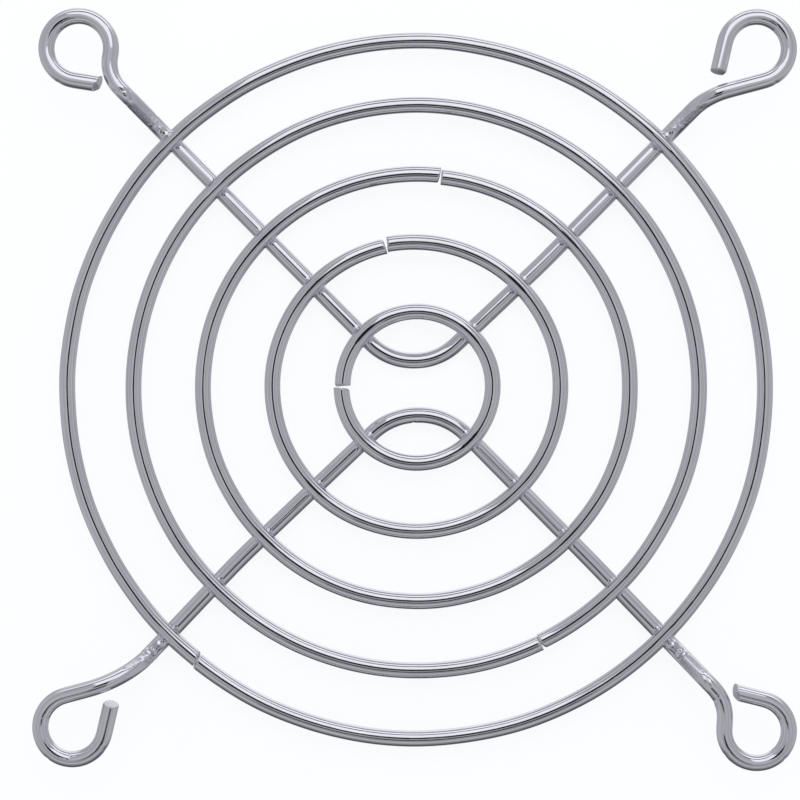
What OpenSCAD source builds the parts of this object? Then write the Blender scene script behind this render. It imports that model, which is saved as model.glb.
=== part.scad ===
// Wire finger guard for an 80 mm axial fan: five butt-jointed wire rings welded on two bent
// ribs, whose four ends rise past the rings and curl into open screw eyelets.
// It lies on its ribs at z = 0, rings above them, eyelets highest. +Z is the eyelet side.

/* [Wire] */
// Diameter of the bright plated wire, one gauge throughout
wire_d = 1.7; // [1.65:0.05:1.75]

/* [Rings] */
// Centre-line radius of the smallest ring
ring_1_r = 8.05; // [7.9:0.05:8.2]
// Centre-line radius of the second ring
ring_2_r = 15.35; // [15.2:0.05:15.5]
// Centre-line radius of the third ring
ring_3_r = 22.75; // [22.6:0.05:22.9]
// Centre-line radius of the fourth ring
ring_4_r = 30.1; // [29.95:0.05:30.25]
// Centre-line radius of the largest ring
ring_5_r = 37.15; // [37:0.05:37.2]
// How far the outer ring was set down off centre when it was welded
ring_5_low = 0.2; // [0:0.05:0.25]
// How deep the welds let each ring sink into the ribs
weld_set = 0.4; // [0.3:0.05:0.45]
// Open slit left between the butted ends of each ring
slit = 0.15; // [0.1:0.05:0.3]

/* [Ribs] */
// Distance from the guard's middle to the wire at the bottom of each rib's U bend
u_bottom = 2.9; // [2.8:0.05:3]
// Height of the eyelet wire above the rib wire
rise = 4.2; // [4:0.1:4.4]
// Angle at which each rib climbs past the outer ring
climb = 45; // [43:1:47]
// Inside forming radius of the climb, on the wire's centre line
climb_r = 2.2; // [2:0.1:2.4]
// Radius from the guard's middle at which the ribs start to climb
climb_at = 38.15; // [38.1:0.05:38.2]

/* [Mounting eyelets] */
// Distance between neighbouring eyelets, both ways
hole_spacing = 71.5; // [71.4:0.05:71.6]
// Centre-line radius of each eyelet's curl
eyelet_r = 3.4; // [3.35:0.05:3.45]
// Depth of the flat that the forming mandrel pressed inside each curl
land = 0.12; // [0.1:0.01:0.14]

/* [Hidden] */
$fn = 40;

wire_r = wire_d / 2;
rib_z = wire_r;
ring_z = rib_z + wire_d - weld_set;
hole_r = eyelet_r - wire_r + land;
h = hole_spacing / 2;

// A bend thins the wire a hair, and each straight reaches this far into the bends beside it.
thin = 0.004;
lap = 0.05;
// Radius of the slack, hardly visible bend part way along each rib leg.
soft_r = 90;
// Straight left between a climb and the turn into the curl.
gap = 0.2;
u_flat = 0.2;

plating = [0.74, 0.75, 0.79];

// Where each ring's butt joint sits, degrees anticlockwise from +X, and how far its last end
// stands out (+) or in (-) from its first end.
joint_at = [180, 102, 83.5, 296, 231];
joint_step = [-0.13, 0.17, -0.17, 0.1, -0.15];
// How far each ring sits off the guard's middle, [x, y], beside what ring_5_low gives.
ring_shift = [[0.07, 0.07], [0, 0.09], [0, 0.02], [-0.02, 0.02], [-0.03, 0]];
// The part of each ring that runs off to the stepped end.
run_off = 60;

// One row for each rib leg, as the hand-set bender left them:
// eyelet centre off its nominal place [x, y], heading of the leg, heading next to the U, distance
// from the middle at which it changes, heading of the neck, neck radius, turn of the curl,
// length of the tail, and 1 where the climb levels out and turns into the neck in one bend.
upper_left = [[0.25, -0.05], 134.4, 134.7, 19, 79, 3.7, 272, 2.9, 0];
upper_right = [[0, -0.15], 45.5, 43.3, 19, 15, 4.7, 242, 3.4, 1];
lower_left = [[-0.4, 0.1], 226.6, 223.5, 26.4, 195, 8.2, 242, 3.5, 1];
lower_right = [[0, -0.3], -46.1, -45.4, 26.4, -94, 4.4, 260, 3.4, 0];

function dir(az, el = 0) = [cos(el) * cos(az), cos(el) * sin(az), sin(el)];
function unit(v) = v / norm(v);
function turn(a, b) = atan2(norm(cross(a, b)), a * b);
function inward(a, b) = unit(b - (a * b) * a);
// Displacement over a bend of radius r that turns heading a into heading b.
function bend_move(r, a, b) =
    let (t = turn(a, b)) r * ((1 - cos(t)) * inward(a, b) + sin(t) * a);
// Distance back from p, against heading d, to the circle of radius r about the middle.
function back_to(p, d, r) = p * d - sqrt((p * d) * (p * d) - p * p + r * r);
function flat(v) = [v.x, v.y, 0];

// What the climb and neck of a leg come to: [slope length, displacement from slope to neck].
function climb_of(leg) =
    let (
        out = dir(leg[1]), up = dir(leg[1], climb), neck = dir(leg[4]),
        start = climb_r * (1 - cos(climb)),
        move = leg[8] == 1
            ? bend_move(leg[5], up, neck)
            : bend_move(climb_r, up, out) + gap * out + bend_move(leg[5], out, neck)
    )
    [(rise - start - move.z) / sin(climb), move];

// Corner points of a leg in plan: [climb start, neck straight, slack bend, U corner].
function corners(leg, centre, u_y) =
    let (
        out = dir(leg[1]), in = dir(leg[2]), neck = dir(leg[4]),
        c = climb_of(leg),
        a = centre - eyelet_r * dir(leg[4] + 90) - flat(c[1])
            - (climb_r * sin(climb) + c[0] * cos(climb)) * out,
        s = back_to(a, neck, climb_at),
        j = a - s * neck,
        m = j - back_to(j, out, leg[3]) * out,
        v = m - (m.y - u_y) / in.y * in
    )
    [j, s, m, v];

module straight(p, d, l, lap_2 = lap) {
    n = unit(abs(d.z) < 0.9 ? cross([0, 0, 1], d) : cross([1, 0, 0], d));
    b = cross(d, n);
    multmatrix([[n.x, b.x, d.x, p.x], [n.y, b.y, d.y, p.y], [n.z, b.z, d.z, p.z], [0, 0, 0, 1]])
        translate([0, 0, -lap]) cylinder(r = wire_r, h = l + lap + lap_2);
}

module bend(p, a, b, r) {
    n = inward(a, b);
    k = cross(a, n);
    c = p + r * n;
    multmatrix([[-n.x, a.x, k.x, c.x], [-n.y, a.y, k.y, c.y], [-n.z, a.z, k.z, c.z], [0, 0, 0, 1]])
        rotate_extrude(angle = turn(a, b)) translate([r, 0]) circle(r = wire_r - thin);
}

// Each step is a straight, then a bend: [length, bend radius, heading after it].
module bent_wire(p, d, steps, i = 0) {
    if (i < len(steps)) {
        s = steps[i];
        q = p + s[0] * d;
        if (s[0] > 0) straight(p, d, s[0]);
        bend(q, d, s[2], s[1]);
        bent_wire(q + bend_move(s[1], d, s[2]), s[2], steps, i + 1);
    }
}

// The open curl of an eyelet, anticlockwise, then its straight tail.
module curl(centre, neck_az, run_in, wrap, tail) {
    first = centre + eyelet_r * dir(neck_az - 90);
    translate(centre) rotate([0, 0, neck_az - 90])
        rotate_extrude(angle = wrap) translate([eyelet_r, 0]) circle(r = wire_r - thin);
    straight(first - run_in * dir(neck_az), dir(neck_az), run_in);
    straight(centre + eyelet_r * dir(neck_az + wrap - 90), dir(neck_az + wrap), tail, 0);
}

module half_rib(leg, centre, u_y, u_r, side) {
    k = corners(leg, centre, u_y);
    c = climb_of(leg);
    out = dir(leg[1]);
    in = dir(leg[2]);
    neck = dir(leg[4]);
    up = dir(leg[1], climb);
    along = [side, 0, 0];
    u_reach = u_r * tan(turn(along, in) / 2);
    soft_reach = soft_r * tan(turn(in, out) / 2);
    steps = concat(
        [
            [0, u_r, in],
            [norm(k[2] - k[3]) - u_reach - soft_reach, soft_r, out],
            [norm(k[0] - k[2]) - soft_reach, climb_r, up]
        ],
        leg[8] == 1 ? [[c[0], leg[5], neck]] : [[c[0], climb_r, out], [gap, leg[5], neck]]
    );
    translate([0, 0, rib_z]) {
        bent_wire(k[3] - u_reach * along, along, steps);
        curl(centre + [0, 0, rise], leg[4], k[1], leg[6], leg[7]);
    }
}

// A rib is one wire: a left leg, a U bend and a right leg, with a saddle under every ring.
module rib(left, right, level) {
    u_y = level * u_bottom;
    c_left = [-h + left[0].x, level * h + left[0].y, 0];
    c_right = [h + right[0].x, level * h + right[0].y, 0];
    v_left = corners(left, c_left, u_y)[3];
    v_right = corners(right, c_right, u_y)[3];
    t_left = tan(turn([-1, 0, 0], dir(left[2])) / 2);
    t_right = tan(turn([1, 0, 0], dir(right[2])) / 2);
    u_r = (v_right.x - v_left.x - u_flat) / (t_left + t_right);
    difference() {
        union() {
            half_rib(left, c_left, u_y, u_r, -1);
            half_rib(right, c_right, u_y, u_r, 1);
            straight([v_left.x + u_r * t_left, u_y, rib_z], [1, 0, 0], u_flat);
        }
        for (i = [1:5]) ring(i);
        for (c = [c_left, c_right])
            translate([c.x, c.y, rib_z + rise - 2 * wire_r]) cylinder(r = hole_r, h = 4 * wire_r);
    }
}

// A ring is one wire bent round to a butt joint, with its last stretch running slightly off.
module ring(i) {
    r = [ring_1_r, ring_2_r, ring_3_r, ring_4_r, ring_5_r][i - 1];
    half_slit = slit / 2 / r * 180 / PI;
    first = joint_at[i - 1] + half_slit;
    part = 360 - 2 * half_slit - run_off;
    r_off = r + joint_step[i - 1] / (1 - cos(run_off));
    off_turn = run_off + asin((r - r_off) * sin(run_off) / r_off);
    over = lap / r * 180 / PI;
    at = ring_shift[i - 1];
    translate([at.x, at.y - (i == 5 ? ring_5_low : 0), ring_z]) rotate([0, 0, first]) {
        rotate_extrude(angle = part + over) translate([r, 0]) circle(r = wire_r);
        rotate([0, 0, part]) translate([r - r_off, 0, 0])
            rotate_extrude(angle = off_turn) translate([r_off, 0]) circle(r = wire_r - thin);
    }
}

module ring_1() color(plating) ring(1);
module ring_2() color(plating) ring(2);
module ring_3() color(plating) ring(3);
module ring_4() color(plating) ring(4);
module ring_5() color(plating) ring(5);
module rib_upper() color(plating) rib(upper_left, upper_right, 1);
module rib_lower() color(plating) rib(lower_left, lower_right, -1);

ring_1();
ring_2();
ring_3();
ring_4();
ring_5();
rib_upper();
rib_lower();
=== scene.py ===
import math

import bpy
import numpy as np
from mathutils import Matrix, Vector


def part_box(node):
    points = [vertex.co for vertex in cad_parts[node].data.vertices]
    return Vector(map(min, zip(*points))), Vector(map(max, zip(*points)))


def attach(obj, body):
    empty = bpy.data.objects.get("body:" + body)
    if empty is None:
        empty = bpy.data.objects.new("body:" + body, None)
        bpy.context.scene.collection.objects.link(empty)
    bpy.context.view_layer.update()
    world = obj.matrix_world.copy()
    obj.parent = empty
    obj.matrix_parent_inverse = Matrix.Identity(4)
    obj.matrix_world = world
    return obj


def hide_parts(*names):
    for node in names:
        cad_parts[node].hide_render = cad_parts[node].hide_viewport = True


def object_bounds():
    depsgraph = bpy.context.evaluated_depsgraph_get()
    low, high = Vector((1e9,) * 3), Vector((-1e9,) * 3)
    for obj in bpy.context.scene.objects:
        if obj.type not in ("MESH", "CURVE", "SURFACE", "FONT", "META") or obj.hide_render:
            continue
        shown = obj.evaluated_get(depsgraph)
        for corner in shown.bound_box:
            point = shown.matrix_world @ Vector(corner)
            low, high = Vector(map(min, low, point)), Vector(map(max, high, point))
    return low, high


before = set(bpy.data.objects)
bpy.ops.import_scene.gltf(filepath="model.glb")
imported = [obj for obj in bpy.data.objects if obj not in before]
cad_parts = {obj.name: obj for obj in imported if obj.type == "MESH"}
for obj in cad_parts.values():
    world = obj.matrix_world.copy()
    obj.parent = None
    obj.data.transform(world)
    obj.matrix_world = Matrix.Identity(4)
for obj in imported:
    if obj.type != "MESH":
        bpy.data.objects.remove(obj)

CAD_BOX = [list(v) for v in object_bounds()]
MM = 0.001
RNG = np.random.default_rng(76)

# ---------------------------------------------------------------- sizes, in millimetres
lo1, hi1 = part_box("ring_1")
WIRE = (hi1.z - lo1.z) / 2 / MM          # wire radius
RING_Z = (hi1.z + lo1.z) / 2 / MM        # height of every ring's centre line
RIB_Z = WIRE                             # the ribs lie on z = 0
TOP = CAD_BOX[1][2] / MM
RISE = TOP - WIRE - RIB_Z                # eyelet wire above rib wire
SIDES = 48

# centre-line radius, x and y offset, butt joint angle, step of the last end, open slit, and how each
# cropped end is shaped: (tilt of the face, side that stands forward, corner cut off, its size)
# where a side is (outward, up) in the section of the wire
RINGS = {
    "ring_1": dict(r=8.05, x=0.07, y=0.07, at=180.0, step=-0.13, slit=0.06, first=(3.0, (1, 0.1), (-1, 0.4), 0.10), last=(5.0, (1, 0.1), (1, 0.8), 0.16)),
    "ring_2": dict(r=15.35, x=0.0, y=0.09, at=102.0, step=0.17, slit=0.12, first=(4.0, (-1, 0.2), (1, 0.5), 0.16), last=(2.0, (-1, 0.2), (1, 0.8), 0.08)),
    "ring_3": dict(r=22.75, x=0.0, y=0.02, at=83.5, step=-0.17, slit=0.06, first=(3.0, (1, 0.3), (-1, 0.1), 0.08), last=(2.0, (1, 0.4), (1, 0.7), 0.08)),
    "ring_4": dict(r=30.1, x=-0.02, y=0.02, at=296.0, step=0.1, slit=0.012, first=(0.5, (1, 0), (1, 0.3), 0.20), last=(0.5, (1, 0), (-1, 0.7), 0.06)),
    "ring_5": dict(r=37.15, x=-0.03, y=-0.2, at=231.0, step=-0.15, slit=0.012, first=(0.5, (1, 0), (1, 0.6), 0.14), last=(1.0, (1, 0), (-1, 0.2), 0.20)),
}
RUN_OFF = 60.0

# the rib legs as in part.scad: eyelet offset, leg heading, heading next to the U, where it
# changes, neck heading, neck radius, turn of the curl, tail, one-bend neck
H = 35.75
U_Y = 2.9
EYE_R = 3.4
CLIMB = 45.0
CLIMB_R = 2.2
CLIMB_AT = 38.15
SOFT_R = 90.0
GAP = 0.2
U_FLAT = 0.2
LEGS = {
    "upper_left": dict(off=(0.25, -0.05), out=134.4, into=134.7, at=19, neck=79, nr=3.7, wrap=272, tail=2.9, one=0, sx=-1, sy=1),
    "upper_right": dict(off=(0.0, -0.15), out=45.5, into=43.3, at=19, neck=15, nr=4.7, wrap=242, tail=3.4, one=1, sx=1, sy=1),
    "lower_left": dict(off=(-0.4, 0.1), out=226.6, into=223.5, at=26.4, neck=195, nr=8.2, wrap=242, tail=3.5, one=1, sx=-1, sy=-1),
    "lower_right": dict(off=(0.0, -0.3), out=-46.1, into=-45.4, at=26.4, neck=-94, nr=4.4, wrap=260, tail=3.4, one=0, sx=1, sy=-1),
}


def heading(az, el=0.0):
    a, e = math.radians(az), math.radians(el)
    return np.array([math.cos(e) * math.cos(a), math.cos(e) * math.sin(a), math.sin(e)])


def unit(v):
    return v / np.linalg.norm(v)


def turn(a, b):
    return math.atan2(np.linalg.norm(np.cross(a, b)), float(a @ b))


def bend_move(r, a, b):
    t = turn(a, b)
    return r * ((1 - math.cos(t)) * unit(b - (a @ b) * a) + math.sin(t) * a)


def back_to(p, d, r):
    return float(p @ d) - math.sqrt(float(p @ d) ** 2 - float(p @ p) + r * r)


def leg_layout(g):
    """Corner points of one rib leg in plan, as part.scad has them."""
    c = np.array([g["sx"] * H + g["off"][0], g["sy"] * H + g["off"][1], 0.0])
    out, into, neck = heading(g["out"]), heading(g["into"]), heading(g["neck"])
    up = heading(g["out"], CLIMB)
    start = CLIMB_R * (1 - math.cos(math.radians(CLIMB)))
    if g["one"]:
        move = bend_move(g["nr"], up, neck)
    else:
        move = bend_move(CLIMB_R, up, out) + GAP * out + bend_move(g["nr"], out, neck)
    slope = (RISE - start - move[2]) / math.sin(math.radians(CLIMB))
    flat = move.copy()
    flat[2] = 0
    a = c - EYE_R * heading(g["neck"] + 90) - flat
    a = a - (CLIMB_R * math.sin(math.radians(CLIMB)) + slope * math.cos(math.radians(CLIMB))) * out
    run_in = back_to(a, neck, CLIMB_AT)
    j = a - run_in * neck
    m = j - back_to(j, out, g["at"]) * out
    u_y = g["sy"] * U_Y
    v = m - (m[1] - u_y) / into[1] * into
    return dict(c=c, j=j, run_in=run_in, m=m, v=v, slope=slope, out=out, into=into, neck=neck, up=up, u_y=u_y)


def leg_path(g, k, u_r, step=0.05):
    """Dense centre line of one leg, from its end of the U bend to the end of its tail."""
    along = np.array([float(g["sx"]), 0.0, 0.0])
    u_reach = u_r * math.tan(turn(along, k["into"]) / 2)
    s_reach = SOFT_R * math.tan(turn(k["into"], k["out"]) / 2)
    p = k["v"] - u_reach * along
    d = along
    pts, marks = [p.copy()], {}
    steps = [
        ("u", 0.0, u_r, k["into"]),
        ("soft", np.linalg.norm(k["m"] - k["v"]) - u_reach - s_reach, SOFT_R, k["out"]),
        ("climb", np.linalg.norm(k["j"] - k["m"]) - s_reach, CLIMB_R, k["up"]),
    ]
    if g["one"]:
        steps.append(("neck", k["slope"], g["nr"], k["neck"]))
    else:
        steps += [("level", k["slope"], CLIMB_R, k["out"]), ("neck", GAP, g["nr"], k["neck"])]
    length = 0.0

    def go(n, f, total):
        nonlocal length
        for i in range(1, n + 1):
            pts.append(f(i / n))
        length += total

    for name, run, r, to in steps:
        if run > 1e-6:
            q = p.copy()
            go(max(1, int(run / step)), lambda t, q=q, d=d, run=run: q + d * run * t, run)
            p = p + d * run
        marks[name] = length
        th = turn(d, to)
        n_ = unit(to - (d @ to) * d)
        q = p.copy()
        go(max(2, int(r * th / step)), lambda t, q=q, d=d, n_=n_, r=r, th=th: q + r * ((1 - math.cos(th * t)) * n_ + math.sin(th * t) * d), r * th)
        p, d = pts[-1].copy(), to
        marks[name + "_end"] = length
    first = k["c"] + EYE_R * heading(g["neck"] - 90)
    first[2] = RISE
    q = p.copy()
    go(max(1, int(k["run_in"] / step)), lambda t: q + (first - q) * t, np.linalg.norm(first - q))
    marks["curl"] = length
    w = math.radians(g["wrap"])
    c = k["c"] + np.array([0, 0, RISE])
    go(int(EYE_R * w / step), lambda t: c + EYE_R * heading(g["neck"] - 90 + math.degrees(w) * t), EYE_R * w)
    marks["tail"] = length
    p = pts[-1].copy()
    d = heading(g["neck"] + g["wrap"])
    go(max(1, int(g["tail"] / step)), lambda t: p + d * g["tail"] * t, g["tail"])
    marks["end"] = length
    return np.array(pts) + np.array([0, 0, RIB_Z]), marks


def rib_centre_line(left, right):
    kl, kr = leg_layout(LEGS[left]), leg_layout(LEGS[right])
    tl = math.tan(turn(np.array([-1.0, 0, 0]), kl["into"]) / 2)
    tr = math.tan(turn(np.array([1.0, 0, 0]), kr["into"]) / 2)
    u_r = (kr["v"][0] - kl["v"][0] - U_FLAT) / (tl + tr)
    pl, ml = leg_path(LEGS[left], kl, u_r)
    pr, mr = leg_path(LEGS[right], kr, u_r)
    pts = np.vstack([pl[::-1], pr])
    total_l = ml["end"]
    # marks measured along the whole wire, from the left tail's end
    marks = {left + "." + n: total_l - s for n, s in ml.items()}
    marks.update({right + "." + n: total_l + U_FLAT + s for n, s in mr.items()})
    return pts, marks


def resample(pts, fine, step=0.2, near=0.09, reach=1.5):
    """Even points along a line, closer together near the places listed in fine."""
    seg = np.linalg.norm(np.diff(pts, axis=0), axis=1)
    s = np.r_[0, np.cumsum(seg)]
    keep = np.r_[True, seg > 1e-9]
    s, pts = s[keep], pts[keep]
    grid = np.arange(0, s[-1], 0.01)
    dens = np.full(len(grid), 1 / step)
    for f in fine:
        dens = np.maximum(dens, (1 / near) * np.exp(-np.maximum(np.abs(grid - f) - reach, 0) / 0.6))
    cum = np.r_[0, np.cumsum(dens) * 0.01]
    n = int(math.ceil(cum[-1]))
    at = np.interp(np.linspace(0, cum[-1], n + 1), cum, np.r_[grid, s[-1]])
    at[0], at[-1] = 0, s[-1]
    return np.stack([np.interp(at, s, pts[:, i]) for i in range(3)], 1), at


def smooth_line(pts, sigma=0.3, step=0.05):
    """Real bends run in and out softly: a short moving average over the dense line."""
    n = int(3 * sigma / step)
    k = np.exp(-0.5 * (np.arange(-n, n + 1) * step / sigma) ** 2)
    k /= k.sum()
    ext = np.vstack([2 * pts[0] - pts[n:0:-1], pts, 2 * pts[-1] - pts[-2 : -n - 2 : -1]])
    return np.stack([np.convolve(ext[:, i], k, "valid") for i in range(3)], 1)


def frames(pts):
    """Tangents and rotation-minimising side vectors along a line, starting with the side level."""
    t = np.gradient(pts, axis=0)
    t /= np.linalg.norm(t, axis=1)[:, None]
    side = np.zeros_like(t)
    v = np.cross(t[0], [0, 0, 1.0])
    side[0] = v / np.linalg.norm(v)
    for i in range(1, len(t)):
        v = side[i - 1] - (side[i - 1] @ t[i]) * t[i]
        side[i] = v / np.linalg.norm(v)
    return t, side, np.cross(side, t)


def wobble(s, seed, amp, length, octaves=3):
    """A smooth, repeatable unevenness along a wire."""
    rng = np.random.default_rng(seed)
    out = np.zeros_like(s)
    for o in range(octaves):
        for _ in range(3):
            w = length / (1.7 ** o) * rng.uniform(0.8, 1.25)
            out += amp / (1.6 ** o) / 1.7 * np.sin(2 * math.pi * s / w + rng.uniform(0, 6.28))
    return out


class Wire:
    """A swept wire: centre line, its frames and the surface normals before any displacement."""

    def __init__(self, pts, s):
        self.p, self.s = pts, s
        self.t, self.a, self.b = frames(pts)
        th = np.linspace(0, 2 * math.pi, SIDES, endpoint=False)
        self.th = th
        # n[i, j]: outward direction; the seam (j = 0) is turned to the underside
        c, sn = np.cos(th - math.pi / 2), np.sin(th - math.pi / 2)
        self.n = self.a[:, None, :] * c[None, :, None] + self.b[:, None, :] * sn[None, :, None]
        self.d = np.zeros((len(pts), SIDES))       # outward displacement
        self.shift = np.zeros((len(pts), SIDES))   # displacement along the wire
        self.weld = np.zeros((len(pts), SIDES))
        self.mark = np.zeros((len(pts), SIDES))
        self.cut = np.zeros(len(pts))

    def surface(self):
        return self.p[:, None, :] + self.n * (WIRE + self.d)[:, :, None]

    def flat(self, at, toward, half, depth, soft=0.35, mark=1.0):
        """A facet pressed into the wire: facing `toward`, `half` mm each way along it."""
        w = np.clip((half + soft - np.abs(self.s - at)) / soft, 0, 1)
        w = w * w * (3 - 2 * w)
        toward = unit(np.array(toward, float))
        dot = self.n @ toward
        lim = np.where(dot > 0.2, (WIRE - depth) / np.maximum(dot, 0.2) - WIRE, 9.0)
        new = np.minimum(self.d, lim)
        self.d = self.d + (new - self.d) * w[:, None]
        self.mark = np.maximum(self.mark, mark * w[:, None] * (dot > math.cos(0.65)))

    def groove(self, at, toward, width, depth, power=2.0, skew=0.0, mark=1.0):
        """A dent across the wire on the side facing `toward`."""
        toward = unit(np.array(toward, float))
        dot = np.clip(self.n @ toward, 0, 1)
        side = self.n @ np.cross(toward, self.t[np.argmin(np.abs(self.s - at))])
        x = (self.s[:, None] - at + skew * side) / width
        g = np.exp(-x * x) * dot ** power
        self.d -= depth * g
        self.mark = np.maximum(self.mark, mark * g)

    def end(self, first, tilt, toward, corner=None, cut=0.0, round_=0.09, burr=0.0, burr_at=None):
        """A cropped end: the face tilts, its rim is rounded, a corner is off, a small burr stands."""
        s = self.s if first else self.s[-1] - self.s
        i = 0 if first else -1
        sign = 1.0 if first else -1.0

        def side(v):
            v = np.array(v, float)
            return self.n[i] @ unit(v - (v @ self.t[i]) * self.t[i])

        near = np.clip(1 - s / 0.8, 0, 1)[:, None]
        self.shift += sign * near * math.tan(math.radians(tilt)) * WIRE * (1 - side(toward))[None]
        if corner is not None:
            off = np.clip((side(corner) - 0.25) / 0.75, 0, 1)[None]
            self.shift += sign * near * cut * off
            self.d -= 0.5 * cut * off * np.exp(-(s[:, None] / 0.16) ** 2)
        x = np.clip(1 - s / round_, 0, 1)[:, None]
        self.d -= round_ * 0.6 * (1 - np.sqrt(np.clip(1 - x * x, 0, 1)))
        if burr:
            b = np.clip(side(burr_at), 0, 1) ** 6
            self.d += burr * np.exp(-(s[:, None] / 0.10) ** 2) * b[None]
        self.mark = np.maximum(self.mark, np.exp(-(s[:, None] / 0.22) ** 2))


def build(name, w, material):
    """Turns a Wire into a closed mesh with smooth sides and flat cropped ends."""
    co = w.surface() + w.t[:, None, :] * w.shift[:, :, None]
    n = len(w.p)
    ends = []
    for i in (0, n - 1):
        ring = co[i]
        mid = ring.mean(0)
        ends.append((mid + (ring - mid) * 0.86, mid + (ring - mid) * 0.45, mid))
    verts = [co.reshape(-1, 3)]
    base = n * SIDES
    idx = np.arange(n * SIDES).reshape(n, SIDES)
    nxt = np.roll(idx, -1, axis=1)
    quads = np.stack([idx[:-1], nxt[:-1], nxt[1:], idx[1:]], -1).reshape(-1, 4)
    faces = [quads]
    tris = []
    attr_w = [w.weld.reshape(-1)]
    attr_m = [w.mark.reshape(-1)]
    grain_th = np.stack([np.cos(w.th), np.sin(w.th)], 1) * WIRE
    g = np.concatenate([np.broadcast_to(grain_th, (n, SIDES, 2)), np.broadcast_to(w.s[:, None, None], (n, SIDES, 1))], -1).reshape(-1, 3)
    attr_g = [g]
    for e, (outer, inner, mid) in enumerate(ends):
        rim = idx[0] if e == 0 else idx[-1]
        a = base + np.arange(SIDES)
        b = a + SIDES
        m = base + 2 * SIDES
        verts += [outer, inner, mid[None]]
        base += 2 * SIDES + 1
        for r0, r1 in ((rim, a), (a, b)):
            q = np.stack([r0, r1, np.roll(r1, -1), np.roll(r0, -1)], -1)
            faces.append(q if e == 0 else q[:, ::-1])
        f = np.stack([b, np.full(SIDES, m), np.roll(b, -1)], -1)
        tris.append(f if e == 0 else f[:, ::-1])
        k = 2 * SIDES + 1
        attr_w.append(np.zeros(k))
        attr_m.append(np.full(k, 1.0))
        gg = np.zeros((k, 3))
        gg[:SIDES, :2] = grain_th * 0.86
        gg[SIDES : 2 * SIDES, :2] = grain_th * 0.45
        gg[:, 2] = w.s[0] if e == 0 else w.s[-1]
        attr_g.append(gg)
    v = np.vstack(verts) * MM
    lo, hi = np.array(CAD_BOX[0]), np.array(CAD_BOX[1])
    v = np.clip(v, lo, hi)
    me = bpy.data.meshes.new(name)
    polys = np.vstack(faces)[:, ::-1].tolist() + np.vstack(tris)[:, ::-1].tolist()
    me.from_pydata(v.tolist(), [], polys)
    me.polygons.foreach_set("use_smooth", np.ones(len(me.polygons), bool))
    for label, data in (("weld", np.concatenate(attr_w)), ("mark", np.concatenate(attr_m))):
        at = me.attributes.new(label, "FLOAT", "POINT")
        at.data.foreach_set("value", np.clip(data, 0, 1).astype(np.float32))
    at = me.attributes.new("grain", "FLOAT_VECTOR", "POINT")
    at.data.foreach_set("vector", np.vstack(attr_g).astype(np.float32).reshape(-1))
    me.validate()
    me.update()
    ob = bpy.data.objects.new(name, me)
    bpy.context.scene.collection.objects.link(ob)
    ob.data.materials.append(material)
    return ob


# tool marks on each leg: kind and whether it faces straight up or square to the climb, the bend it
# is near, how far past it, roll about the wire, half length (or width), depth, softness (or skew)
TOOL = {
    "upper_left": [
        (("groove", "up"), "climb_end", 0.55, 10, 0.26, 0.15, 0.25),
        (("groove", "up"), "climb_end", 1.15, -30, 0.20, 0.09, -0.3),
        (("flat", "lean"), "climb_end", 2.6, 38, 1.5, 0.085, 0.25),
        (("flat", "lean"), "climb_end", 3.2, -28, 1.6, 0.05, 0.3),
        (("groove", "up"), "level", 0.5, 35, 0.22, 0.07, 0.5),
        (("groove", "up"), "level", 1.6, 5, 0.18, 0.06, -0.6),
    ],
    "upper_right": [
        (("groove", "up"), "climb_end", 0.7, -8, 0.26, 0.15, 0.25),
        (("groove", "up"), "climb_end", 1.25, 25, 0.20, 0.08, -0.3),
        (("flat", "lean"), "climb_end", 2.7, -36, 1.5, 0.085, 0.25),
        (("flat", "lean"), "climb_end", 3.3, 30, 1.7, 0.06, 0.3),
        (("groove", "up"), "neck", 0.8, -25, 0.24, 0.07, 0.5),
    ],
    "lower_left": [
        (("groove", "up"), "climb_end", 0.75, 5, 0.28, 0.16, -0.25),
        (("groove", "up"), "climb_end", 1.3, -25, 0.20, 0.09, 0.3),
        (("flat", "lean"), "climb_end", 2.9, 34, 1.6, 0.09, 0.25),
        (("flat", "lean"), "climb_end", 2.7, -32, 1.5, 0.06, 0.3),
        (("flat", "up"), "neck", 0.6, 28, 1.0, 0.07, 0.2),
        (("groove", "up"), "neck", 0.9, 20, 0.22, 0.07, 0.6),
    ],
    "lower_right": [
        (("groove", "up"), "climb_end", 0.75, 0, 0.28, 0.16, 0.25),
        (("groove", "up"), "climb_end", 1.3, 25, 0.20, 0.09, -0.3),
        (("flat", "lean"), "climb_end", 2.9, -34, 1.6, 0.09, 0.25),
        (("flat", "lean"), "climb_end", 2.7, 32, 1.5, 0.06, 0.3),
        (("flat", "up"), "level", 0.5, -30, 0.9, 0.07, 0.2),
        (("groove", "up"), "level", 0.8, 10, 0.20, 0.07, 0.6),
        (("groove", "up"), "neck", 1.0, -60, 0.22, 0.06, 0.3),
    ],
}
# small nicks from the coiling pin: direction from the eyelet's middle, side, width, depth
NICKS = {
    "upper_left": [(240, "out", 0.14, 0.05)],
    "upper_right": [(105, "in", 0.14, 0.05), (46, "in", 0.14, 0.06), (297, "out", 0.18, 0.05)],
    "lower_left": [(266, "in", 0.15, 0.07), (231, "out", 0.16, 0.06), (326, "out", 0.15, 0.06), (158, "in", 0.13, 0.05)],
    "lower_right": [(215, "out", 0.16, 0.06), (313, "out", 0.15, 0.06), (25, "in", 0.13, 0.05)],
}
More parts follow.
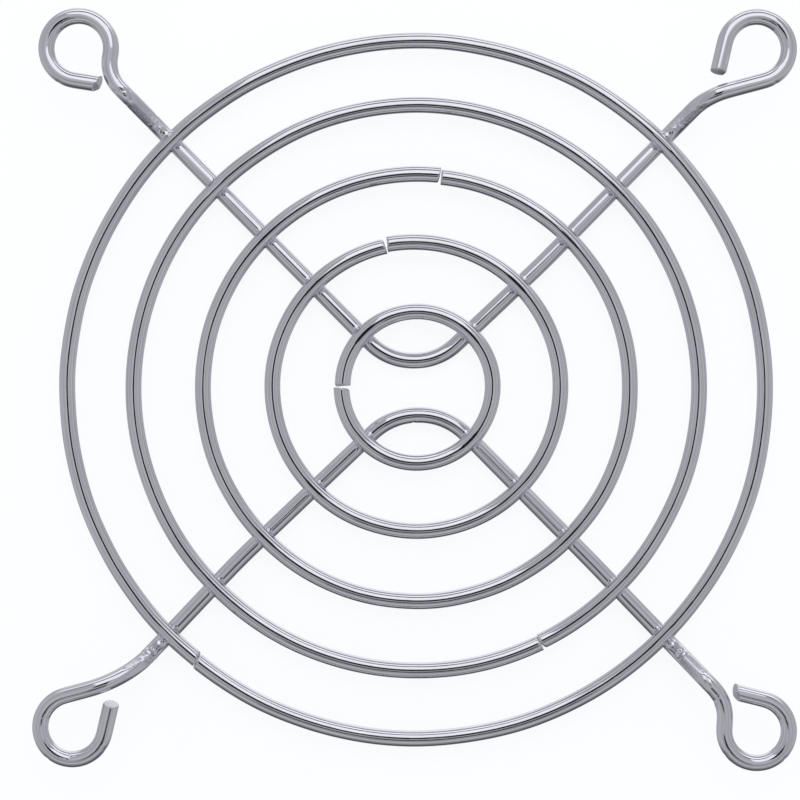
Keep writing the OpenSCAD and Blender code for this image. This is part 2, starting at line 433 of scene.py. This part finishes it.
# cropped tails: tilt of the face, side that stands forward (across, down), corner cut off
# (across, up), its size, burr and its side
TAILS = {
    "upper_left": (14.0, 0.7, 0.5, -0.9, 0.3, 0.35, 0.10, 0.9),
    "upper_right": (9.0, 0.2, 1.0, 0.8, 0.5, 0.12, 0.04, -0.6),
    "lower_left": (14.0, 0.1, 1.0, 0.9, 0.5, 0.10, 0.04, -0.8),
    "lower_right": (16.0, -0.6, 0.5, 0.9, 0.4, 0.30, 0.12, -0.9),
}


# ---------------------------------------------------------------- material
def plated_wire():
    m = bpy.data.materials.new("plated_wire")
    m.use_nodes = True
    nt = m.node_tree
    nt.nodes.clear()
    N, L = nt.nodes.new, nt.links.new

    def val(node, i, v):
        node.inputs[i].default_value = v

    out = N("ShaderNodeOutputMaterial")
    bs = N("ShaderNodeBsdfPrincipled")
    L(bs.outputs[0], out.inputs[0])
    bs.inputs["Metallic"].default_value = 1.0
    grain = N("ShaderNodeAttribute")
    grain.attribute_name = "grain"
    weld = N("ShaderNodeAttribute")
    weld.attribute_name = "weld"
    mark = N("ShaderNodeAttribute")
    mark.attribute_name = "mark"

    def noise(scale, stretch, detail=2.0, rough=0.5):
        """Noise in millimetres round the wire, stretched along it."""
        mp = N("ShaderNodeMapping")
        mp.inputs["Scale"].default_value = (scale, scale, scale * stretch)
        L(grain.outputs["Vector"], mp.inputs["Vector"])
        n = N("ShaderNodeTexNoise")
        n.inputs["Scale"].default_value = 1.0
        n.inputs["Detail"].default_value = detail
        n.inputs["Roughness"].default_value = rough
        L(mp.outputs[0], n.inputs["Vector"])
        return n

    def ramp(src, a, b, lo, hi):
        r = N("ShaderNodeMapRange")
        val(r, 1, a)
        val(r, 2, b)
        val(r, 3, lo)
        val(r, 4, hi)
        L(src, r.inputs[0])
        return r.outputs[0]

    def mix(fac, a, b):
        x = N("ShaderNodeMix")
        x.data_type = "RGBA"
        L(fac, x.inputs[0])
        for i, c in ((6, a), (7, b)):
            if isinstance(c, tuple):
                x.inputs[i].default_value = c
            else:
                L(c, x.inputs[i])
        return x.outputs[2]

    def math_(op, a, b):
        x = N("ShaderNodeMath")
        x.operation = op
        for i, c in ((0, a), (1, b)):
            if isinstance(c, (int, float)):
                x.inputs[i].default_value = c
            else:
                L(c, x.inputs[i])
        return x.outputs[0]

    # colour: bright plating, faintly clouded, darker in the tool marks, and darkened at the weld feet as
    # painted shade and painted dark reflection
    cloud = noise(0.35, 0.25, 3.0, 0.55)
    fine = noise(6.0, 0.03, 3.0, 0.6)
    c1 = mix(ramp(cloud.outputs[0], 0.35, 0.7, 0, 1), (0.83, 0.83, 0.88, 1), (0.765, 0.762, 0.825, 1))
    c2 = mix(ramp(fine.outputs[0], 0.55, 0.72, 0, 0.55), c1, (0.60, 0.60, 0.665, 1))
    # painted shade: the weld mask darkens the colour where the fillets meet, in place of their shadow and dark
    # reflection
    c3_painted_weld_shade = mix(ramp(weld.outputs["Fac"], 0.0, 1.0, 0, 0.85), c2, (0.20, 0.20, 0.24, 1))
    c4 = mix(ramp(mark.outputs["Fac"], 0.2, 1.0, 0, 0.35), c3_painted_weld_shade, (0.55, 0.55, 0.62, 1))
    L(c4, bs.inputs["Base Color"])
    # roughness: polished, with drawn streaks, dull where it was heated or gripped
    streak = noise(9.0, 0.012, 2.0, 0.5)
    r1 = ramp(streak.outputs[0], 0.35, 0.75, 0.045, 0.095)
    r2 = math_("ADD", r1, ramp(cloud.outputs[0], 0.4, 0.8, 0, 0.035))
    r3 = math_("ADD", r2, ramp(weld.outputs["Fac"], 0, 1, 0, 0.22))
    r4 = math_("ADD", r3, ramp(mark.outputs["Fac"], 0, 1, 0, 0.06))
    L(r4, bs.inputs["Roughness"])
    # bump: die lines along the wire, orange-peel of the plating, pitting in the marks
    b1 = N("ShaderNodeBump")
    b1.inputs["Strength"].default_value = 0.10
    b1.inputs["Distance"].default_value = 0.00002
    L(streak.outputs[0], b1.inputs["Height"])
    peel = noise(1.6, 0.35, 2.0, 0.45)
    b2 = N("ShaderNodeBump")
    b2.inputs["Strength"].default_value = 0.22
    b2.inputs["Distance"].default_value = 0.00003
    L(peel.outputs[0], b2.inputs["Height"])
    L(b1.outputs[0], b2.inputs["Normal"])
    pits = noise(5.0, 0.9, 4.0, 0.65)
    b3 = N("ShaderNodeBump")
    b3.inputs["Distance"].default_value = 0.00006
    L(ramp(math_("MAXIMUM", mark.outputs["Fac"], weld.outputs["Fac"]), 0, 1, 0, 0.8), b3.inputs["Strength"])
    L(pits.outputs[0], b3.inputs["Height"])
    L(b2.outputs[0], b3.inputs["Normal"])
    L(b3.outputs[0], bs.inputs["Normal"])
    return m


METAL = plated_wire()

# ---------------------------------------------------------------- centre lines
RIB_LINES = {}
for rib, (left, right) in {"rib_upper": ("upper_left", "upper_right"), "rib_lower": ("lower_left", "lower_right")}.items():
    RIB_LINES[rib] = rib_centre_line(left, right)


def ring_line(g, step_deg=0.1):
    """Dense centre line of a ring from its first end to its last, which runs slightly off."""
    r = g["r"]
    half = math.degrees(g["slit"] / 2 / r)
    first = g["at"] + half
    part = 360 - 2 * half - RUN_OFF
    r_off = r + g["step"] / (1 - math.cos(math.radians(RUN_OFF)))
    a = np.radians(first + np.linspace(0, part, int(part / step_deg)))
    main = np.stack([r * np.cos(a), r * np.sin(a), 0 * a], 1)
    j = heading(first + part)
    off_turn = RUN_OFF + math.degrees(math.asin((r - r_off) * math.sin(math.radians(RUN_OFF)) / r_off))
    b = np.radians(first + part + np.linspace(0, off_turn, int(off_turn / step_deg)))[1:]
    last = (r - r_off) * j + np.stack([r_off * np.cos(b), r_off * np.sin(b), 0 * b], 1)
    return np.vstack([main, last]) + np.array([g["x"], g["y"], RING_Z])


def nearest(pts, q):
    d = np.linalg.norm(pts[:, None, :2] - q[None, :, :2], axis=2)
    i, j = np.unravel_index(np.argmin(d), d.shape)
    return i, j


# every crossing: where each ring passes over each rib
CROSS = []
RING_LINES = {n: ring_line(g) for n, g in RINGS.items()}
for rn, rl in RING_LINES.items():
    for rib, (line, _) in RIB_LINES.items():
        for side in (-1, 1):
            ok = np.sign(line[:, 0]) == side
            sub = np.where(ok & (line[:, 2] < RIB_Z + 0.2))[0]
            d = np.abs(np.hypot(line[sub, 0] - RINGS[rn]["x"], line[sub, 1] - RINGS[rn]["y"]) - RINGS[rn]["r"])
            i = sub[np.argmin(d)]
            j = np.argmin(np.linalg.norm(rl[:, :2] - line[i, :2], axis=1))
            CROSS.append((rn, j, rib, i))


def arc_length(pts):
    return np.r_[0, np.cumsum(np.linalg.norm(np.diff(pts, axis=0), axis=1))]


def blend_welds(w, others, keep):
    """Squeezed-out weld metal: the surface swells smoothly where another wire is close."""
    co = w.surface()
    for pts, k, seed in others:
        near = np.where(np.min(np.linalg.norm(w.p[:, None, :] - pts[None, ::8, :], axis=2), axis=1) < 3.2)[0]
        if not len(near):
            continue
        c = co[near].reshape(-1, 3)
        d = np.full(len(c), 9.0)
        for a in range(0, len(pts), 400):
            blk = pts[a : a + 400]
            d = np.minimum(d, np.sqrt(((c[:, None, :] - blk[None]) ** 2).sum(2)).min(1))
        g = (d - WIRE).reshape(len(near), SIDES)
        h = np.clip(k - np.maximum(g, 0), 0, None) ** 2 / (4 * k)
        rag = 1 + 0.25 * np.sin(w.s[near][:, None] * 9 + seed) * np.sin(w.th[None] * 5 + seed * 1.7)
        w.d[near] += h * rag * keep
        # this weld mask also darkens the colour in the material, as painted shade and painted dark reflection
        w.weld[near] = np.maximum(w.weld[near], np.clip(1 - np.maximum(g, 0) / (k * 0.62), 0, 1))


# ---------------------------------------------------------------- rings
PIECES = {}
for name, g in RINGS.items():
    dense = RING_LINES[name]
    s_d = arc_length(dense)
    welds = [(s_d[j], rib, i) for rn, j, rib, i in CROSS if rn == name]
    pts, s = resample(dense, [x[0] for x in welds] + [0, s_d[-1]])
    seed = int(name[-1]) * 11
    pts = pts.copy()
    # hand-fed rolling leaves each ring very slightly uneven
    mid = np.array([g["x"], g["y"], 0])
    rad = (pts - mid) * [1, 1, 0]
    rad /= np.linalg.norm(rad, axis=1)[:, None]
    pts += rad * wobble(s, seed, 0.018, 26)[:, None]
    pts[:, 2] += wobble(s, seed + 1, 0.012, 15)
    w = Wire(pts, s)
    near = []
    for at, rib, i in welds:
        line = RIB_LINES[rib][0]
        seg = line[max(0, i - 70) : i + 70]
        near.append((seg, 0.42 + 0.12 * RNG.uniform(-1, 1), at))
    blend_welds(w, near, 1.0)
    for at, rib, i in welds:
        # the welding electrode leaves its print on the crest
        w.flat(at + RNG.uniform(-0.3, 0.3), [RNG.uniform(-0.12, 0.12), RNG.uniform(-0.12, 0.12), 1], 0.7, 0.012 + 0.01 * RNG.uniform(), soft=1.1, mark=0.0)
    for first in (True, False):
        tilt, stand, corner, cut = g["first" if first else "last"]
        out = unit(rad[0 if first else -1])
        up = np.array([0, 0, 1.0])
        w.end(first, tilt, stand[0] * out + stand[1] * up, corner[0] * out + corner[1] * up, cut,
              burr=0.05, burr_at=-corner[0] * out + 0.3 * up)
    PIECES[name] = build(name + "_wire", w, METAL)

# ---------------------------------------------------------------- ribs
for name, (line, marks) in RIB_LINES.items():
    line = smooth_line(line)
    s_d = arc_length(line)
    welds = [(s_d[i], rn, j) for rn, j, rib, i in CROSS if rib == name]
    fine = [x[0] for x in welds] + [0, s_d[-1]]
    for n, v in marks.items():
        if n.split(".")[1] in ("climb", "climb_end", "level", "neck", "neck_end", "curl"):
            fine.append(v)
    pts, s = resample(line, fine)
    seed = 101 if name == "rib_upper" else 137
    pts = pts.copy()
    pts[:, 2] += wobble(s, seed, 0.008, 19) * np.clip((pts[:, 2] > 5) * 0.0 + 1, 0, 1)
    w = Wire(pts, s)
    near = []
    for at, rn, j in welds:
        seg = RING_LINES[rn]
        r = RINGS[rn]["r"]
        k = int(3.5 / (r * math.radians(0.1)))
        near.append((seg[max(0, j - k) : j + k], 0.42 + 0.12 * RNG.uniform(-1, 1), at))
    blend_welds(w, near, 1.0)
    for at, rn, j in welds:
        # underside print of the lower electrode
        w.flat(at, [0, 0, -1], 0.8, 0.02, soft=0.8, mark=0.2)
    for leg in (x for x in LEGS if (LEGS[x]["sy"] > 0) == (name == "rib_upper")):
        g = LEGS[leg]
        way = -1.0 if g["sx"] < 0 else 1.0      # which way along the wire the eyelet lies
        at = {n.split(".")[1]: v for n, v in marks.items() if n.startswith(leg)}
        up, left = heading(0, 90), heading(g["out"] + 90)
        lean = -heading(g["out"]) * math.sin(math.radians(CLIMB)) + up * math.cos(math.radians(CLIMB))
        for kind, base, ds, roll, size, depth, soft in TOOL[leg]:
            pos = at[base] + way * ds
            slope = {"up": up, "lean": lean}[kind[1]]
            toward = math.cos(math.radians(roll)) * slope + math.sin(math.radians(roll)) * left
            if kind[0] == "flat":
                w.flat(pos, toward, size, depth, soft=soft, mark=0.5)
            else:
                w.groove(pos, toward, size, depth, power=1.5, skew=soft, mark=0.8)
        for az, where, size, depth in NICKS[leg]:
            ang = (az - (g["neck"] - 90)) % 360
            pos = at["curl"] + way * EYE_R * math.radians(ang)
            face = {"out": heading(az, 25), "in": heading(az + 180, 40), "top": heading(az, 80)}[where]
            w.groove(pos, face, size, depth, power=4.0, skew=0.06, mark=0.9)
        t = TAILS[leg]
        back = heading(g["neck"] + g["wrap"])
        across = heading(g["neck"] + g["wrap"] + 90)
        w.end(way < 0, t[0], t[1] * across - t[2] * up, t[3] * across + t[4] * up, t[5], burr=t[6], burr_at=t[7] * across + 0.2 * up)
    if name == "rib_lower":
        w.groove(marks["lower_left.u"] - 0.6, [0.2, -1, 0.1], 0.16, 0.07, power=6.0, mark=0.7)
    PIECES[name] = build(name + "_wire", w, METAL)

for node, ob in PIECES.items():
    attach(ob, "root")
    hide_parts(node)


# ---------------------------------------------------------------- studio
def plain(name, colour, strength, base=None):
    m = bpy.data.materials.new(name)
    m.use_nodes = True
    nt = m.node_tree
    nt.nodes.clear()
    out = nt.nodes.new("ShaderNodeOutputMaterial")
    bs = nt.nodes.new("ShaderNodeBsdfPrincipled")
    bs.inputs["Base Color"].default_value = (*(base or (0, 0, 0)), 1)
    bs.inputs["Roughness"].default_value = 0.9
    bs.inputs["Specular IOR Level"].default_value = 0.0
    bs.inputs["Emission Color"].default_value = (*colour, 1)
    bs.inputs["Emission Strength"].default_value = strength
    nt.links.new(bs.outputs[0], out.inputs[0])
    return m


def card(name, corners, mat, camera=False, glossy=True, diffuse=True, shadow=False):
    me = bpy.data.meshes.new(name)
    me.from_pydata([tuple(c) for c in corners], [], [(0, 1, 2, 3)])
    ob = bpy.data.objects.new(name, me)
    ob.data.materials.append(mat)
    bpy.context.scene.collection.objects.link(ob)
    ob.visible_camera = camera
    ob.visible_glossy = glossy
    ob.visible_diffuse = diffuse
    ob.visible_shadow = shadow
    return ob


FLOOR = CAD_BOX[0][2] - 0.00002
floor_mat = plain("floor", (0.97, 0.985, 1.0), 0.86, base=(0.30, 0.30, 0.30))
card("floor", [(-1, -1, FLOOR), (1, -1, FLOOR), (1, 1, FLOOR), (-1, 1, FLOOR)], floor_mat, camera=True, glossy=False, diffuse=True, shadow=True)

# the camera and its stand, as the wires see them
dark = plain("dark_card", (0.014, 0.014, 0.018), 1.0)
card("camera_card", [(-0.050, -0.034, 0.232), (0.030, -0.034, 0.232), (0.030, 0.046, 0.232), (-0.050, 0.046, 0.232)], dark, diffuse=False)
stand = plain("stand_card", (0.045, 0.045, 0.055), 1.0)
card("stand_card", [(-0.070, -0.150, 0.240), (0.070, -0.150, 0.240), (0.050, -0.084, 0.240), (-0.050, -0.084, 0.240)], stand, diffuse=False)
# a white panel overhead on the far side
panel = plain("panel", (0.98, 0.98, 1.0), 1.05)
card("panel", [(-0.060, 0.080, 0.270), (0.100, 0.080, 0.270), (0.25, 0.35, 0.270), (-0.19, 0.35, 0.270)], panel)

# the room: pale walls, a brighter wall and table edge on the far side, dimmer behind the camera
world = bpy.data.worlds.new("studio")
bpy.context.scene.world = world
world.use_nodes = True
nt = world.node_tree
nt.nodes.clear()
wo = nt.nodes.new("ShaderNodeOutputWorld")
bg = nt.nodes.new("ShaderNodeBackground")
tc = nt.nodes.new("ShaderNodeTexCoord")
sep = nt.nodes.new("ShaderNodeSeparateXYZ")
nt.links.new(tc.outputs["Generated"], sep.inputs[0])


def wmath(op, *args):
    x = nt.nodes.new("ShaderNodeMath")
    x.operation = op
    for i, c in enumerate(args):
        if isinstance(c, (int, float)):
            x.inputs[i].default_value = c
        else:
            nt.links.new(c, x.inputs[i])
    return x.outputs[0]


def wsmooth(src, a, b):
    x = nt.nodes.new("ShaderNodeMapRange")
    x.interpolation_type = "SMOOTHSTEP"
    x.inputs[1].default_value = a
    x.inputs[2].default_value = b
    nt.links.new(src, x.inputs[0])
    return x.outputs[0]


def wramp(stops):
    """Grey levels by height: (angle from straight up, level)."""
    r = nt.nodes.new("ShaderNodeValToRGB")
    z = wmath("MULTIPLY_ADD", sep.outputs["Z"], 0.5, 0.5)
    nt.links.new(z, r.inputs[0])
    e = r.color_ramp.elements
    pts = sorted(((math.cos(math.radians(a)) * 0.5 + 0.5), v) for a, v in stops)
    for i, (x, v) in enumerate(pts):
        k = e[i] if i < 2 else e.new(x)
        k.position = x
        k.color = (v * 0.985, v * 0.985, v * 1.03, 1)
    return r.outputs[0]


def wmix(fac, a, b):
    x = nt.nodes.new("ShaderNodeMix")
    x.data_type = "RGBA"
    nt.links.new(fac, x.inputs[0])
    nt.links.new(a, x.inputs[6])
    nt.links.new(b, x.inputs[7])
    return x.outputs[2]


flat_r = wmath("SQRT", wmath("ADD", wmath("MULTIPLY", sep.outputs["X"], sep.outputs["X"]), wmath("ADD", wmath("MULTIPLY", sep.outputs["Y"], sep.outputs["Y"]), 1e-6)))
toward_far = wmath("DIVIDE", wmath("ADD", wmath("MULTIPLY", sep.outputs["X"], 0.17), wmath("MULTIPLY", sep.outputs["Y"], 0.985)), flat_r)
toward_near = wmath("DIVIDE", wmath("MULTIPLY", sep.outputs["Y"], -1.0), flat_r)
sides = wramp([(0, 0.50), (14, 0.53), (28, 0.46), (44, 0.41), (58, 0.44), (72, 0.50), (95, 0.46), (108, 0.50), (124, 0.42), (150, 0.46), (180, 0.62)])
far = wramp([(0, 0.50), (48, 0.46), (53, 0.22), (68, 0.22), (72, 1.18), (91, 1.18), (95, 0.44), (110, 0.44), (115, 0.98), (155, 0.98), (170, 0.70), (180, 0.62)])
near = wramp([(0, 0.40), (36, 0.33), (44, 0.34), (51, 0.56), (62, 0.52), (70, 0.34), (92, 0.24), (99, 0.10), (138, 0.10), (155, 0.30), (180, 0.55)])
col = wmix(wsmooth(toward_near, 0.35, 0.92), sides, near)
col = wmix(wsmooth(toward_far, 0.62, 0.95), col, far)
nt.links.new(col, bg.inputs[0])
bg.inputs[1].default_value = 1.0
nt.links.new(bg.outputs[0], wo.inputs[0])

bpy.context.scene.view_settings.view_transform = "Standard"

# ---------------------------------------------------------------- camera: close, square above
cam_d = bpy.data.cameras.new("camera")
cam = bpy.data.objects.new("camera", cam_d)
bpy.context.scene.collection.objects.link(cam)
bpy.context.scene.camera = cam
cam_d.type = "PERSP"
cam_d.sensor_width = 36.0
cam_d.lens = 95.085
cam_d.clip_start = 0.01
cam_d.clip_end = 10
cam_d.shift_x = -0.02059
cam_d.shift_y = -0.01525
cam.location = (0, 0, RING_Z * MM + 0.225)
cam.rotation_euler = (0, 0, 0)
